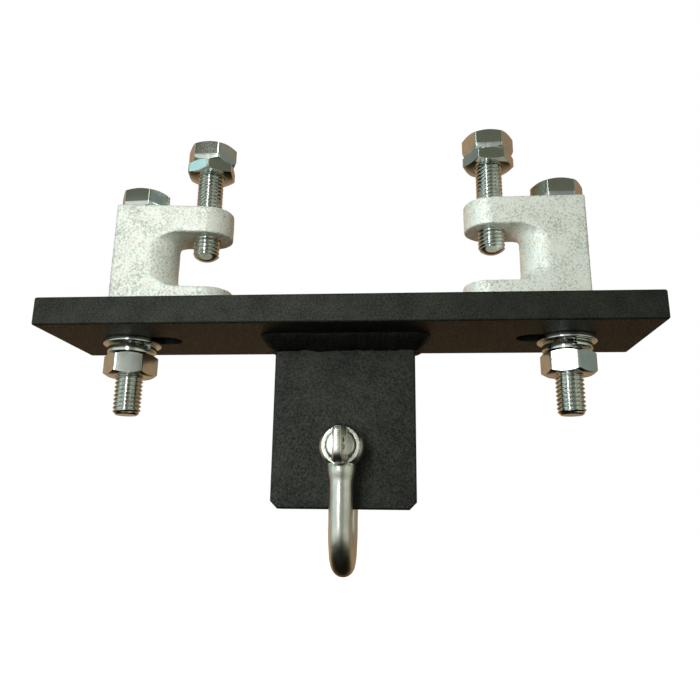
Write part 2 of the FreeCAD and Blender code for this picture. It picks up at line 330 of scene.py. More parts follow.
def thread_height(z, theta, pitch):
    """Height of a right-hand thread's profile, 0 at the root and 1 at the crest.

    The phase is the fractional part of z / pitch - t / 2 pi; a straight flank joins a crest an
    eighth of the pitch wide to a rounded root.
    """
    phase = z / pitch - theta / (2 * math.pi)
    from_crest = 2 * np.abs(phase - np.round(phase))
    return smooth_step(1 - from_crest, 0.10, 0.90) * 0.35 + np.clip((0.86 - from_crest) / 0.74, 0, 1) * 0.65


def hexagon_radius(theta, flats, turn, power):
    """Radius of a hexagon with slightly rounded corners.

    It is half the flats over the p-norm of the six clipped cosines towards the flats.
    """
    normals = turn + math.pi / 6 + np.arange(6) * (math.pi / 3)
    towards = np.clip(np.cos(theta[:, None] - normals), 0, 1)
    return flats / 2 * np.sum(towards ** power, axis=1) ** (-1 / power)


def hexagon_angles(turn):
    """Columns round a hexagon: even steps from its first corner, and two more beside each corner."""
    corners = turn + np.arange(6) * (math.pi / 3)
    beside = math.radians(1.3)
    return np.sort(np.concatenate([turn + angles(), corners - beside, corners + beside]))


def chamfered_hexagon(theta, low, high, flats, turn, foot_band=0.0):
    """Rows (radii, heights) up the outside of a hexagon turned off at both ends by 30 degree cones.

    Each chamfer's edge climbs by (r - face radius) tan 30 from the face circle.  With a foot
    band, the lowest part of the flats leans in by 12 degrees, as on a cold-headed bolt.
    """
    power = shape_settings().corner_sharpness
    corner = hexagon_radius(theta, flats, turn, power)
    face = flats / 2 * FACE_CIRCLE_RATIO
    rise = (corner - face) * math.tan(math.radians(30))
    radii = [np.full_like(theta, face), corner, corner]
    heights = [np.full_like(theta, low), low + rise, high - rise]
    if foot_band:
        lean = math.tan(math.radians(12))
        foot = corner - foot_band * lean
        foot_rise = np.maximum(foot - face, 0) * math.tan(math.radians(30)) + 0.02 * MM
        knee, soft = low + foot_band, 0.12 * MM
        radii = [np.full_like(theta, face), foot, corner - soft * lean, corner, corner]
        heights = [np.full_like(theta, low), low + foot_rise, knee - soft, knee + soft, high - rise]
    return radii + [np.full_like(theta, face)], heights + [np.full_like(theta, high)]


def dished_top(high, flats):
    """Rows (radii, heights) over a head's top: a flat rim, then a shallow dish."""
    rim = flats / 2 * FACE_CIRCLE_RATIO
    radii = [rim * 0.74, rim * 0.66, rim * 0.3]
    heights = [high, high - 0.35 * MM, high - 0.45 * MM]
    return radii, heights


def threaded_rows(theta, low, high, crest, depth, pitch, end_radius, fade_top):
    """Rows of a threaded shank from its end upwards.

    The radius is the crest less the thread's depth times (1 - profile); end_radius(z) caps it
    near the tip, and the depth fades to nothing over one pitch below the top where asked.
    """
    count = max(int((high - low) / pitch * shape_settings().rows_per_pitch), 2)
    z = np.linspace(low, high, count)
    fade = 1 - smooth_step(z, high - pitch, high) if fade_top else np.ones_like(z)
    profile = thread_height(z[:, None], theta[None, :], pitch)
    radius = crest - depth * (1 - profile) * fade[:, None]
    radius = np.minimum(radius, end_radius(z)[:, None])
    return list(radius), list(z)


def bored_hexagon(node, body, turn, name, material):
    """A double-chamfered nut whose threaded bore meshes with the screw on the same axis."""
    low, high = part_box(node)
    theta = hexagon_angles(turn)
    flats = hexagon_flats(node)
    shapes = shape_settings()
    radii, heights = chamfered_hexagon(theta, low.z, high.z, flats, turn)
    count = max(int((high.z - low.z) / shapes.thread_pitch * shapes.rows_per_pitch), 4)
    mouth, crest = 5.35 * MM, 5.02 * MM
    z = np.linspace(high.z, low.z, count)
    profile = thread_height(z[:, None], theta[None, :], shapes.thread_pitch)
    bore = crest - shapes.thread_depth * (1 - profile)
    countersink = mouth - np.minimum(high.z - z, z - low.z)
    bore = np.maximum(bore, countersink[:, None])
    points = turned(radii + list(bore), heights + list(z), theta, node_axis(node))
    return make_piece(name, [ring_grid(points)], body, [node], material)


def hexagon_flats(node):
    """Width across flats: the farthest vertex's distance times the square root of three."""
    offset = node_points(node)[:, :2] - node_axis(node)
    return float(np.hypot(offset[:, 0], offset[:, 1]).max()) * math.sqrt(3)


def rounded_section(inner, outer, low, high, edge, steps=4):
    """Closed section (radii, heights) of a ring, a rectangle whose four corners are quarter arcs.

    It runs outwards along the bottom, up the outside, inwards along the top and down the bore.
    """
    quarter = np.linspace(0, math.pi / 2, steps)
    corners = [(outer - edge, low + edge, -math.pi / 2), (outer - edge, high - edge, 0.0),
               (inner + edge, high - edge, math.pi / 2), (inner + edge, low + edge, math.pi)]
    radii = np.concatenate([r + edge * np.cos(start + quarter) for r, _, start in corners])
    heights = np.concatenate([z + edge * np.sin(start + quarter) for _, z, start in corners])
    return radii, heights


# ---------------------------------------------------------------- materials


def new_finish(name, colour, metallic, roughness):
    """A node material with one principled shader; returns it with its tree and shader."""
    material = bpy.data.materials.new(name)
    material.use_nodes = True
    tree = material.node_tree
    shader = tree.nodes["Principled BSDF"]
    shader.inputs["Base Color"].default_value = (*colour, 1)
    shader.inputs["Metallic"].default_value = metallic
    shader.inputs["Roughness"].default_value = roughness
    return material, tree, shader


def object_place(tree):
    """Output that gives a point's place on the object, in metres."""
    return tree.nodes.new("ShaderNodeTexCoord").outputs["Object"]


def noise(tree, place, size, detail=2.0, roughness=0.5):
    """Fractal noise whose largest lumps are about the given size in metres."""
    node = tree.nodes.new("ShaderNodeTexNoise")
    node.inputs["Scale"].default_value = 1 / size
    node.inputs["Detail"].default_value = detail
    node.inputs["Roughness"].default_value = roughness
    tree.links.new(place, node.inputs["Vector"])
    return node.outputs["Fac"]


def ramp(tree, factor, stops):
    """Colour ramp through (position, colour) stops."""
    node = tree.nodes.new("ShaderNodeValToRGB")
    elements = node.color_ramp.elements
    while len(elements) < len(stops):
        elements.new(0.5)
    for element, (position, colour) in zip(elements, stops):
        element.position = position
        element.color = (*colour, 1)
    tree.links.new(factor, node.inputs["Fac"])
    return node.outputs["Color"]


def spread(tree, factor, low, high, new_low, new_high):
    """Maps a value from one range to another, held at both ends."""
    node = tree.nodes.new("ShaderNodeMapRange")
    for name, value in (("From Min", low), ("From Max", high), ("To Min", new_low), ("To Max", new_high)):
        node.inputs[name].default_value = value
    tree.links.new(factor, node.inputs["Value"])
    return node.outputs["Result"]


def combine(tree, operation, first, second):
    """Arithmetic on two values; the second may be a plain number."""
    node = tree.nodes.new("ShaderNodeMath")
    node.operation = operation
    tree.links.new(first, node.inputs[0])
    if isinstance(second, (int, float)):
        node.inputs[1].default_value = second
    else:
        tree.links.new(second, node.inputs[1])
    return node.outputs[0]


def relief(tree, shader, height, depth):
    """Bump on the shader from a height between 0 and 1 that stands for a depth in metres."""
    node = tree.nodes.new("ShaderNodeBump")
    node.inputs["Strength"].default_value = 1.0
    node.inputs["Distance"].default_value = depth
    tree.links.new(height, node.inputs["Height"])
    tree.links.new(node.outputs["Normal"], shader.inputs["Normal"])


def blend_colours(tree, factor, first, second, mode="MIX"):
    """Mixes two colour outputs."""
    node = tree.nodes.new("ShaderNodeMix")
    node.data_type = "RGBA"
    node.blend_type = mode
    if isinstance(factor, float):
        node.inputs["Factor"].default_value = factor
    else:
        tree.links.new(factor, node.inputs["Factor"])
    tree.links.new(first, node.inputs["A"])
    tree.links.new(second, node.inputs["B"])
    return node.outputs["Result"]


def powder_coat(name="powder_coat_black", share=1.0):
    """Black textured powder coat: fine orange-peel grain, paler on its peaks, satin sheen.

    A share below one darkens it and dulls its sheen. This is painted shade, as on the weld beads that lie
    in the plate's shadow.
    """
    found = bpy.data.materials.get(name)
    if found:
        return found
    finish = finish_settings()
    dark, light = scaled(finish.coat_dark, share), scaled(finish.coat_light, share)
    material, tree, shader = new_finish(name, light, 0.0, 0.5)
    place = object_place(tree)
    grain = noise(tree, place, finish.coat_grain, 3.0, 0.65)
    coarse = noise(tree, place, finish.coat_grain * 14, 2.0, 0.5)
    tone = combine(tree, "ADD", grain, combine(tree, "MULTIPLY", coarse, 0.35))
    colour = ramp(tree, tone, [(0.55, dark), (0.81, light)])
    tree.links.new(colour, shader.inputs["Base Color"])
    tree.links.new(spread(tree, grain, 0.35, 0.65, 0.62, 0.38), shader.inputs["Roughness"])
    shader.inputs["Specular IOR Level"].default_value = 0.40 * share
    relief(tree, shader, grain, 0.00016)
    return material


def cast_zinc(side):
    """Zinc-plated casting skin: pale pebbles with greyer hollows over the modelled relief.

    The share evens out the near key light, which falls off from the left casting to the right.
    """
    finish = finish_settings()
    share = {"left": 0.86, "right": 1.10}[side]
    dark, light = scaled(finish.casting_dark, share), scaled(finish.casting_light, share)
    material, tree, shader = new_finish("cast_zinc_" + side, light, 0.4, 0.42)
    place = object_place(tree)
    pebbles = noise(tree, place, finish.casting_grain, 3.0, 0.6)
    patches = noise(tree, place, finish.casting_grain * 9, 2.0, 0.5)
    tone = combine(tree, "ADD", pebbles, combine(tree, "MULTIPLY", patches, 0.4))
    colour = ramp(tree, tone, [(0.50, dark), (0.73, light)])
    blush = ramp(tree, noise(tree, place, finish.casting_grain * 3.4, 2.0, 0.6),
                 [(0.42, (1.0, 1.0, 1.0)), (0.66, (1.0, 0.95, 0.91))])
    tree.links.new(blend_colours(tree, 1.0, colour, blush, "MULTIPLY"), shader.inputs["Base Color"])
    tree.links.new(spread(tree, pebbles, 0.3, 0.7, 0.52, 0.36), shader.inputs["Roughness"])
    relief(tree, shader, pebbles, 0.00016)
    return material


def plated_zinc(name, colour, roughness, grain, depth):
    """Bright zinc plate on steel: a mirror broken up by faint waves and a cloudy sheen."""
    found = bpy.data.materials.get(name)
    if found:
        return found
    material, tree, shader = new_finish(name, colour, 1.0, roughness)
    place = object_place(tree)
    cloud = noise(tree, place, grain * 6, 3.0, 0.6)
    waves = noise(tree, place, grain, 2.0, 0.5)
    darker = tuple(0.86 * channel for channel in colour)
    tone = ramp(tree, cloud, [(0.35, darker), (0.62, tuple(colour))])
    tree.links.new(tone, shader.inputs["Base Color"])
    clouded = spread(tree, cloud, 0.3, 0.7, roughness * 1.35, roughness * 0.8)
    tree.links.new(clouded, shader.inputs["Roughness"])
    relief(tree, shader, waves, depth)
    return material


def fastener_zinc():
    return plated_zinc("zinc_fastener_plate", finish_settings().fastener, 0.13, 0.0011, 0.000012)


def shackle_zinc():
    return plated_zinc("shackle_zinc_plate", finish_settings().shackle, 0.27, 0.0021, 0.00005)


# ---------------------------------------------------------------- stage


def area_light(name, place, target, width, height, power, colour):
    """Rectangular soft light that faces a target point."""
    data = bpy.data.lights.new(name, "AREA")
    data.shape = "RECTANGLE"
    data.size, data.size_y = width, height
    data.energy, data.color = power, colour
    light = bpy.data.objects.new(name, data)
    light.location = place
    light.rotation_euler = (Vector(target) - Vector(place)).to_track_quat("-Z", "Y").to_euler()
    bpy.context.scene.collection.objects.link(light)
    return light


def scaled(colour, factor):
    """A colour times a number."""
    return tuple(factor * channel for channel in colour)


def room_world():
    """White to the camera; to reflections and shade, a wooden wall behind and a dim room in front.

    One ramp over the compass direction colours a low band of windows, and another colours the dim
    room above it.  A ramp over the height blends them, and a second one darkens what lies far below.
    """
    settings = stage_settings()
    world = bpy.data.worlds.new("studio")
    world.use_nodes = True
    tree = world.node_tree
    background = tree.nodes["Background"]
    direction = tree.nodes.new("ShaderNodeTexCoord").outputs["Generated"]
    split = tree.nodes.new("ShaderNodeSeparateXYZ")
    tree.links.new(direction, split.inputs["Vector"])
    forward = combine(tree, "MULTIPLY", split.outputs["Y"], -1.0)
    compass = spread(tree, combine(tree, "ARCTAN2", split.outputs["X"], forward), -math.pi, math.pi, 0, 1)
    wall, room, window = settings.wall_colour, settings.room_colour, settings.window_colour
    teal, cyan = (0.17, 0.23, 0.22), (0.62, 0.96, 0.98)
    cream, shaded_floor = (0.50, 0.54, 0.42), (0.82, 0.80, 0.76)

    def stops(*pairs):
        return [((angle + 180) / 360, colour) for angle, colour in pairs]

    low = ramp(tree, compass, stops(
        (-180, scaled(wall, 0.9)), (-108, scaled(wall, 1.25)), (-92, scaled(teal, 1.6)),
        (-66, window), (-8, window), (7, scaled(window, 0.32)), (26, scaled(window, 0.32)),
        (40, (0.62, 0.62, 0.50)), (82, (0.52, 0.53, 0.44)),
        (97, scaled(teal, 1.0)), (112, scaled(wall, 0.75)), (180, scaled(wall, 0.85))))
    high = ramp(tree, compass, stops(
        (-180, scaled(wall, 0.9)), (-116, scaled(wall, 1.1)), (-108, teal), (-80, teal),
        (-72, cyan), (-60, cyan), (-50, room), (34, room), (38, cream), (46, cream),
        (50, scaled(room, 0.9)), (76, scaled(room, 0.95)), (92, scaled(teal, 1.1)),
        (112, scaled(wall, 0.8))))
    height = spread(tree, split.outputs["Z"], -1, 1, 0, 1)
    grey = [(0.46, 0.0), (0.545, 0.0), (0.60, 0.72), (0.68, 1.0)]
    above = ramp(tree, height, [(position, (value,) * 3) for position, value in grey])
    shade = ramp(tree, height, [
        (0.12, (0.02, 0.021, 0.018)), (0.24, (0.12, 0.12, 0.10)), (0.33, shaded_floor), (0.39, (1, 1, 1))])
    room_colours = blend_colours(tree, above, low, high)
    room_colours = blend_colours(tree, 1.0, room_colours, shade, "MULTIPLY")
    seen = tree.nodes.new("ShaderNodeLightPath").outputs["Is Camera Ray"]
    white = tree.nodes.new("ShaderNodeRGB")
    white.outputs[0].default_value = (1, 1, 1, 1)
    tree.links.new(blend_colours(tree, seen, room_colours, white.outputs[0]), background.inputs["Color"])
    bpy.context.scene.world = world


class BEAMCLAMP_OT_stage(bpy.types.Operator):
    """Camera, pale floor, soft lights and the room seen in reflections"""
    bl_idname = "beam_clamp.stage"
    bl_label = "Stage"

    def execute(self, context):
        settings = stage_settings()
        data = bpy.data.cameras.new("camera")
        data.sensor_width = 36.0
        data.lens = settings.lens
        data.shift_x, data.shift_y = settings.shift
        camera = bpy.data.objects.new("camera", data)
        turn = Matrix.Rotation(settings.camera_turn, 3, "Z")
        rise = Matrix.Rotation(math.pi / 2 + settings.camera_rise, 3, "X")
        roll = Matrix.Rotation(-settings.camera_roll, 3, "Z")
        camera.location = settings.camera_place
        camera.rotation_euler = (turn @ rise @ roll).to_euler()
        data.clip_start = 0.01
        context.scene.collection.objects.link(camera)
        context.scene.camera = camera
        context.scene.view_settings.view_transform = "Standard"

        floor_z = CAD_BOX[0][2] - settings.floor_drop
        reach = 4.0
        mesh = bpy.data.meshes.new("floor")
        mesh.from_pydata([(-reach, -reach, floor_z), (reach, -reach, floor_z), (reach, reach, floor_z),
                          (-reach, reach, floor_z)], [], [(0, 1, 2, 3)])
        floor = bpy.data.objects.new("floor", mesh)
        context.scene.collection.objects.link(floor)
        material, _, shader = new_finish("pale_floor", (0.85, 0.85, 0.85), 0.0, 0.9)
        shader.inputs["Emission Color"].default_value = (1, 1, 1, 1)
        shader.inputs["Emission Strength"].default_value = 0.9
        mesh.materials.append(material)
        floor.visible_glossy = False
        floor.visible_diffuse = False

        # the tall soft box is two lights close together, one for matt surfaces and one for gleams
        matt = area_light("key_on_matt", (-0.088, -0.285, 0.07), (-0.10, 0.0, 0.03), 0.05, 0.34,
                          settings.key_power, (1.0, 1.0, 0.97))
        matt.visible_glossy = False
        gleam = area_light("key_gleam", (-0.092, -0.305, 0.07), (-0.02, 0.0, 0.03), 0.044, 0.34,
                           settings.gleam_power, (1.0, 1.0, 0.98))
        gleam.visible_diffuse = False
        fill = area_light("fill_from_behind", (0.25, 0.75, 0.35), (0.0, 0.0, 0.0), 0.6, 0.6,
                          settings.fill_power, (1.0, 0.99, 0.97))
        fill.visible_glossy = False
        room_world()
        return {"FINISHED"}


# ---------------------------------------------------------------- pieces


class BEAMCLAMP_OT_coated_steel(bpy.types.Operator):
    """Powder coat on the spreader plate and the hanging lug"""
    bl_idname = "beam_clamp.coated_steel"
    bl_label = "Coated steel"

    def execute(self, context):
        for node in ("spreader_plate", "hanging_lug"):
            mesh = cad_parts[node].data
            mesh.materials.clear()
            mesh.materials.append(powder_coat())
        return {"FINISHED"}


def weld_path(length, thickness, count):
    """Half way round a flat bar from the middle of one end to the middle of the other.

    Returns the path length, points on the bar's outline and outward directions.  Along a straight
    run the direction stays put, and at a corner the point does while the direction turns through
    a quarter circle.
    """
    half_x, half_y = length / 2, thickness / 2
    corner = 0.35 * thickness
    runs = [half_y, corner, length, corner, half_y]
    ends = np.cumsum([0.0] + runs)
    s = np.linspace(0, ends[-1], count)
    x = np.clip(half_x - (s - ends[2]), -half_x, half_x)
    y = -np.clip(np.minimum(s, ends[-1] - s), 0, half_y)
    first = np.clip((s - ends[1]) / corner, 0, 1)
    second = np.clip((s - ends[3]) / corner, 0, 1)
    heading = -(first + second) * math.pi / 2
    return s, np.stack([x, y], -1), np.stack([np.cos(heading), np.sin(heading)], -1)


def weld_bead(node, back, seed):
    """Nearly flat fillet weld round half of the lug's top.

    Across the bead, angle a runs from the lug (0) to the plate (90 degrees); the surface stands
    out by w sin^1.5 a and down by h cos^1.5 a.  Ripples are a sine of the path length, bowed by
    the square of the angle from the middle, and w and h wander with a slow noise and a finer one.
    """
    shapes = shape_settings()
    low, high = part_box(node)
    lug_low, lug_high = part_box("hanging_lug")
    leg = high.z - low.z
    s, outline, outward = weld_path(lug_high.x - lug_low.x, lug_high.y - lug_low.y, 520)
    across = np.linspace(0, math.pi / 2, 18)
    wander = lattice_noise(np.stack([s, s * 0, s * 0 + seed], -1), 0.006, seed)
    fine = lattice_noise(np.stack([s, s * 0, s * 0 + seed], -1), 0.0022, seed + 1)
    down = leg * (0.90 + 0.07 * wander + 0.03 * fine)
    out = leg * (0.90 - 0.06 * wander + 0.02 * fine)
    bow = (across / (math.pi / 2) - 0.5) ** 2
    ripple = np.sin(2 * math.pi * (s[None, :] / shapes.weld_ripple + 1.6 * bow[:, None]))
    crown = np.sin(2 * across)[:, None]
    swell = 1 + crown * (0.05 + ripple * shapes.weld_relief / leg)
    stand_out = out[None, :] * np.sin(across)[:, None] ** 1.5 * swell
    stand_down = down[None, :] * np.cos(across)[:, None] ** 1.5 * swell
    stand_out = np.concatenate([stand_out, np.zeros((1, len(s)))])
    stand_down = np.concatenate([stand_down, np.zeros((1, len(s)))])
    points = np.empty(stand_out.shape + (3,))
    points[..., 0] = outline[:, 0] + outward[:, 0] * stand_out
    points[..., 1] = outline[:, 1] + outward[:, 1] * stand_out
    points[..., 2] = high.z - stand_down
    if back:
        points[..., :2] *= -1
    # the section is the closed way round, and the path runs from one cap to the other
    # the beads get a darker copy of the coat: painted shade for the plate's shadow over them
    coat = powder_coat("powder_coat_weld_painted_shade", 0.45)
    return make_piece(node + "_ripples", [closed_grid(points.transpose(1, 0, 2))], "spreader",
                      [node], coat, 60.0)


class BEAMCLAMP_OT_weld_beads(bpy.types.Operator):
    """Rippled fillet welds between the lug and the plate"""
    bl_idname = "beam_clamp.weld_beads"
    bl_label = "Weld beads"

    def execute(self, context):
        weld_bead("front_weld_bead", False, 11)
        weld_bead("back_weld_bead", True, 23)
        return {"FINISHED"}


def evaluated_copy(source, name, voxel, smooth_turns):
    """New mesh object: the source's mesh with its doubles merged, remeshed by cubes and smoothed."""
    mesh = source.data.copy()
    work = bpy.data.objects.new(name, mesh)
    bpy.context.scene.collection.objects.link(work)
    weld = work.modifiers.new("weld", "WELD")
    weld.merge_threshold = 0.000002
    remesh = work.modifiers.new("remesh", "REMESH")
    remesh.mode = "VOXEL"
    remesh.voxel_size = voxel
    smooth = work.modifiers.new("smooth", "SMOOTH")
    smooth.factor = 0.5
    smooth.iterations = smooth_turns
    graph = bpy.context.evaluated_depsgraph_get()
    baked = bpy.data.meshes.new_from_object(work.evaluated_get(graph))
    work.modifiers.clear()
    work.data = baked
    bpy.data.meshes.remove(mesh)
    return work


def mesh_arrays(mesh):
    """Vertex positions and normals of a mesh as arrays."""
    place = np.empty(3 * len(mesh.vertices), np.float32)
    mesh.vertices.foreach_get("co", place)
    normal = np.empty(3 * len(mesh.vertices), np.float32)
    mesh.vertex_normals.foreach_get("vector", normal)
    return place.reshape(-1, 3).astype(float), normal.reshape(-1, 3).astype(float)


def set_points(mesh, points):
    """Writes vertex positions back to a mesh."""
    mesh.vertices.foreach_set("co", points.astype(np.float32).ravel())
    mesh.update()


def clamp_casting(side, seed):
    """The CAD casting with its edges softened and a pebbled skin.

    Each vertex moves along its normal by the pebble height times the sum of two noises, the
    broad one at half weight, and is kept inside the CAD casting's box.
    """
    node = side + "_clamp_casting"
    shapes = shape_settings()
    piece = evaluated_copy(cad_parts[node], side + "_cast_clamp", shapes.casting_voxel, 3)
    place, normal = mesh_arrays(piece.data)
    grain = finish_settings().casting_grain
    pebbles = lattice_noise(place, grain, seed) + 0.5 * lattice_noise(place, grain * 3.1, seed + 1)
    low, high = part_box(node)
    moved = place + normal * (pebbles * shapes.pebble_height)[:, None]
    set_points(piece.data, np.clip(moved, np.array(low), np.array(high)))
    return finish_piece(piece, side + "_casting", [node], cast_zinc(side), 80.0)


class BEAMCLAMP_OT_clamp_castings(bpy.types.Operator):
    """Pebbled zinc-plated castings that hook under the beam's flange"""
    bl_idname = "beam_clamp.clamp_castings"
    bl_label = "Clamp castings"

    def execute(self, context):
        for index, side in enumerate(SIDES):
            clamp_casting(side, 31 + 10 * index)
        return {"FINISHED"}


def headed_piece(node, head_bottom, shank_rows, body, name):
    """Screw with its shank rows given, a hexagon head that leans in at its foot and a dished top."""
    low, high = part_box(node)
    turn = corner_turn(node)
    theta = hexagon_angles(turn)
    flats = hexagon_flats(node)
    radii, heights = shank_rows(theta, low.z, head_bottom)
    head_radii, head_heights = chamfered_hexagon(theta, head_bottom, high.z, flats, turn, HEAD_FOOT_BAND)
    top_radii, top_heights = dished_top(high.z, flats)
    radii += head_radii + top_radii
    heights += head_heights + top_heights
    points = turned(radii, heights, theta, node_axis(node))
    return make_piece(name, [closed_grid(points)], body, [node], fastener_zinc())


def bolt_shank(theta, low, head_bottom):
    """Chamfered end, thread, then a plain shank up to the head."""
    shapes = shape_settings()
    crest, chamfer = SCREW_CREST, 1.2 * MM
    thread_top = low + shapes.bolt_thread_length
    radii, heights = threaded_rows(
        theta, low, thread_top, crest, shapes.thread_depth, shapes.thread_pitch,
        lambda z: crest - chamfer + (z - low), True)
    return radii + [crest], heights + [head_bottom]


def set_screw_shank(theta, low, head_bottom):
    """Domed point, then thread right up to the head; the dome is a sphere's cap."""
    shapes = shape_settings()
    crest, dome = SCREW_CREST, 2.2 * MM
    ball = (crest ** 2 + dome ** 2) / (2 * dome)
    tip = np.linspace(0.06, 1, 8) ** 2 * 0.25 * dome

    def cap(z):
        return np.sqrt(np.maximum(ball ** 2 - (ball - np.clip(z - low, 0, ball)) ** 2, 0))

    thread_bottom = low + tip[-1] + 0.02 * MM
    radii, heights = threaded_rows(
        theta, thread_bottom, head_bottom, crest, shapes.thread_depth, shapes.thread_pitch, cap, True)
    return [*cap(low + tip), *radii], [*(low + tip), *heights]


class BEAMCLAMP_OT_screws(bpy.types.Operator):
    """Fixing bolts and set screws with helical threads"""
    bl_idname = "beam_clamp.screws"
    bl_label = "Bolts and set screws"

    def execute(self, context):
        for side in SIDES:
            casting_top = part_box(side + "_clamp_casting")[1].z
            headed_piece(side + "_fixing_bolt", casting_top, bolt_shank, side + "_bolt",
                         side + "_hex_bolt")
            lock_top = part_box(side + "_lock_nut")[1].z
            headed_piece(side + "_set_screw", lock_top, set_screw_shank, side + "_screw",
                         side + "_domed_screw")
        return {"FINISHED"}


# each nut's node, body and visible name, after its side
NUTS = (("fixing_nut", "nut", "full_nut"), ("lock_nut", "screw_feed", "thin_nut"))


class BEAMCLAMP_OT_nuts(bpy.types.Operator):
    """Fixing nuts and thin lock nuts"""
    bl_idname = "beam_clamp.nuts"
    bl_label = "Nuts"

    def execute(self, context):
        for side in SIDES:
            for kind, body, name in NUTS:
                node = side + "_" + kind
                bored_hexagon(node, side + "_" + body, corner_turn(node), side + "_" + name,
                              fastener_zinc())
        return {"FINISHED"}


def flat_washer(side):
    """Punched washer: a rounded rectangular section turned about the bolt's axis."""
    node = side + "_flat_washer"
    low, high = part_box(node)
    radii, heights = rounded_section(5.5 * MM, (high.x - low.x) / 2, low.z, high.z, 0.35 * MM)
    points = turned(list(radii), list(heights), angles(), node_axis(node))
    return make_piece(side + "_plain_washer", [ring_grid(points)], side + "_washers",
                      [node], fastener_zinc(), 50.0)


def spring_gap(node):
    """Middle and width of a split washer's gap, the widest step between its vertices' angles."""
    offset = node_points(node)[:, :2] - node_axis(node)
    found = np.sort(np.arctan2(offset[:, 1], offset[:, 0]))
    steps = np.diff(np.append(found, found[0] + 2 * math.pi))
    widest = int(np.argmax(steps))
    return found[widest] + steps[widest] / 2, steps[widest]


def spring_washer(side):
    """Open split washer: a section carried round an arc, left-handed, from its high end to its low one."""
    node = side + "_spring_washer"
    low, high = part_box(node)
    rise = 1.15 * MM
    middle, gap = spring_gap(node)
    radii, heights = rounded_section(5.3 * MM, 8.8 * MM, low.z, high.z - rise, 0.3 * MM)
    theta = middle + np.linspace(gap / 2, 2 * math.pi - gap / 2, 90)
    share = np.linspace(0, 1, 90)
    axis = node_axis(node)
    points = np.empty((len(theta), len(radii), 3))
    points[..., 0] = axis[0] + radii * np.cos(theta)[:, None]
    points[..., 1] = axis[1] + radii * np.sin(theta)[:, None]
    points[..., 2] = heights + rise * (1 - share[:, None])
    shell = closed_grid(points[::-1])
    return make_piece(side + "_split_washer", [shell], side + "_washers", [node],
                      fastener_zinc(), 50.0)


class BEAMCLAMP_OT_washers(bpy.types.Operator):
    """Plain and split washers under the plate"""
    bl_idname = "beam_clamp.washers"
    bl_label = "Washers"

    def execute(self, context):
        for side in SIDES:
            flat_washer(side)
            spring_washer(side)
        return {"FINISHED"}


def bow_tube(bar, leg_y, top_z, bend_z, flare):
    """Round bar down one leg, round the half circle and up the other leg.

    Along the legs the point is (0, y, z); round the bend it is (0, R cos b, bend z - R sin b).
    The radius swells towards each eye by the flare times a smooth step of the height.
    """
    straight = np.linspace(top_z, bend_z, 40)[:-1]
    bend = np.linspace(0, math.pi, 72)
    leg = np.full_like(straight, leg_y)
    y = np.concatenate([leg, leg_y * np.cos(bend), -leg])
    z = np.concatenate([straight, bend_z - leg_y * np.sin(bend), straight[::-1]])
    turn = np.concatenate([np.zeros_like(straight), bend, np.full_like(straight, math.pi)])
    radius = bar + flare * smooth_step(z, top_z - 6.0 * MM, top_z - 1.2 * MM)
    phi = angles(56)
    side = np.stack([np.zeros_like(turn), np.cos(turn), -np.sin(turn)], -1)
    points = np.empty((len(z), len(phi), 3))
    points[..., 0] = radius[:, None] * np.sin(phi)
    points[..., 1] = y[:, None] + radius[:, None] * np.cos(phi) * side[:, 1:2]
    points[..., 2] = z[:, None] + radius[:, None] * np.cos(phi) * side[:, 2:3]
    return closed_grid(points)


def eye_ring(centre_y, pin_z, eye, bore, half_width):
    """Forged eye: a ring about the pin's axis with generously rounded edges."""
    radii, heights = rounded_section(bore, eye, -half_width, half_width, 2.6 * MM, 8)
    ring = turned(list(radii), list(heights), angles(72))
    points = np.empty_like(ring)
    points[..., 0] = ring[..., 0]
    points[..., 1] = centre_y + ring[..., 2]
    points[..., 2] = pin_z - ring[..., 1]
    return ring_grid(points)


class BEAMCLAMP_OT_shackle_bow(bpy.types.Operator):
    """Forged D bow with its two eyes"""
    bl_idname = "beam_clamp.shackle_bow"
    bl_label = "Shackle bow"

    def execute(self, context):
        low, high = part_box("shackle_bow")
        pin_low, pin_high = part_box("shackle_pin")
        pin_z = (pin_low.z + pin_high.z) / 2
        eye = high.z - pin_z
        bar = SHACKLE_BAR
        leg_y = high.y - bar
        bend_z = low.z + bar + leg_y
        shells = [bow_tube(bar, leg_y, pin_z - eye * 0.84, bend_z, 0.8 * MM)]
        shells += [eye_ring(sign * leg_y, pin_z, eye, 4.0 * MM, bar) for sign in (-1, 1)]
        piece = make_piece("forged_bow", shells, "shackle", ["shackle_bow"],
                           shackle_zinc(), 60.0)
        # the shells are fused into one skin, and the loose ones are thrown away
        piece.parent = None
        forged = evaluated_copy(piece, "forged_shackle", 0.00032, 5)
        bpy.data.objects.remove(piece)
        place, normal = mesh_arrays(forged.data)
        waves = lattice_noise(place, 0.0042, 71) + 0.4 * lattice_noise(place, 0.0016, 72)
        set_points(forged.data, place + normal * (waves * 0.00004)[:, None])
        finish_piece(forged, "shackle", ["shackle_bow"], shackle_zinc(), 80.0)
        return {"FINISHED"}


